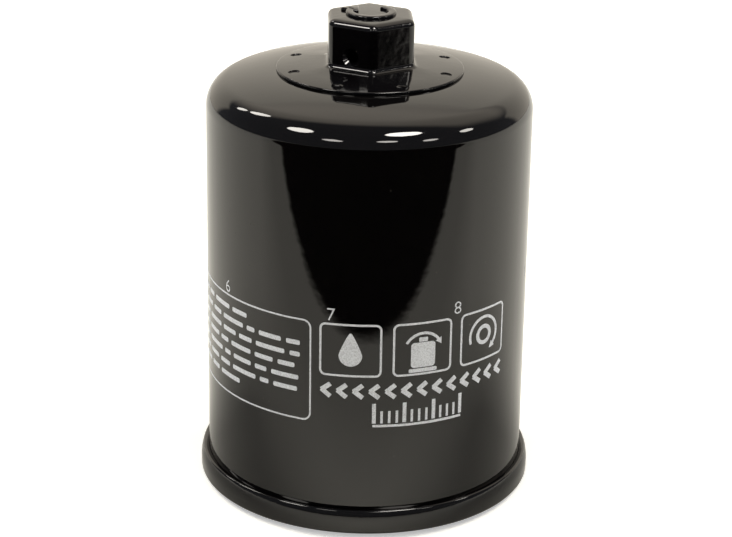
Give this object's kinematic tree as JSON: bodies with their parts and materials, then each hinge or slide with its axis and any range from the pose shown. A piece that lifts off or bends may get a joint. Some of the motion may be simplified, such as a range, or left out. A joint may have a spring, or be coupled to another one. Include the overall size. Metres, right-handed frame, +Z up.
{
  "type": "spin-on oil filter",
  "caption": "Spin-on oil filter canister with a hex wrench nut, wire hole, threaded plate, sealing gasket, pleated element, drain-back valve and bypass valve.",
  "frame": {"origin": "centre of the gasket's sealing face, at the bottom of the part", "axes": "+Z up the filter's axis, from the gasket to the wrench nut; +Y to the back, +X to the right"},
  "size_m": [0.0684, 0.0684, 0.0979],
  "materials": {
    "can_enamel": "glossy black enamel",
    "nut_enamel": "glossy black enamel",
    "lid_steel": "black enamel over pressed steel",
    "sealing_compound": "cured seaming compound",
    "plate_steel": "zinc-plated, machined thread",
    "gasket_rubber": "moulded nitrile",
    "valve_rubber": "moulded silicone",
    "cap_steel": "tinned, pressed",
    "adhesive": "cured plastisol",
    "filter_paper": "resin-treated, pleated",
    "tube_steel": "perforated, tinned",
    "washer_brass": "flat, tumbled",
    "poppet_steel": "turned, zinc-plated",
    "spring_steel": "oil-tempered"
  },
  "bodies": {
    "housing": {"canister_shell": "can_enamel", "wrench_nut": "nut_enamel", "seaming_lid": "lid_steel", "seam_compound": "sealing_compound", "thread_plate": "plate_steel", "mounting_gasket": "gasket_rubber", "lower_end_cap": "cap_steel", "lower_adhesive": "adhesive", "pleated_media": "filter_paper", "media_seam_clip": "cap_steel", "center_tube": "tube_steel", "upper_adhesive": "adhesive", "upper_end_cap": "cap_steel", "bypass_seat_washer": "washer_brass", "bypass_spring": "spring_steel", "bypass_cage": "cap_steel", "element_spring": "spring_steel"},
    "bypass_plunger": {"bypass_poppet": "poppet_steel", "bypass_seal": "gasket_rubber"},
    "drainback_flap": {"drainback_valve": "valve_rubber"}
  },
  "joints": [
    {"name": "bypass_opening", "type": "slide", "parent": "housing", "child": "bypass_plunger", "axis": [0, 0, -1], "range_m": [0, 0.003], "stiffness_N_per_m": 2000, "springref_m": -0.007, "deforming": ["bypass_spring"]},
    {"name": "drainback_lift", "type": "slide", "parent": "housing", "child": "drainback_flap", "axis": [0, 0, 1], "range_m": [0, 0.0012], "stiffness_N_per_m": 200, "springref_m": -0.001, "deforming": ["drainback_valve"]}
  ]
}
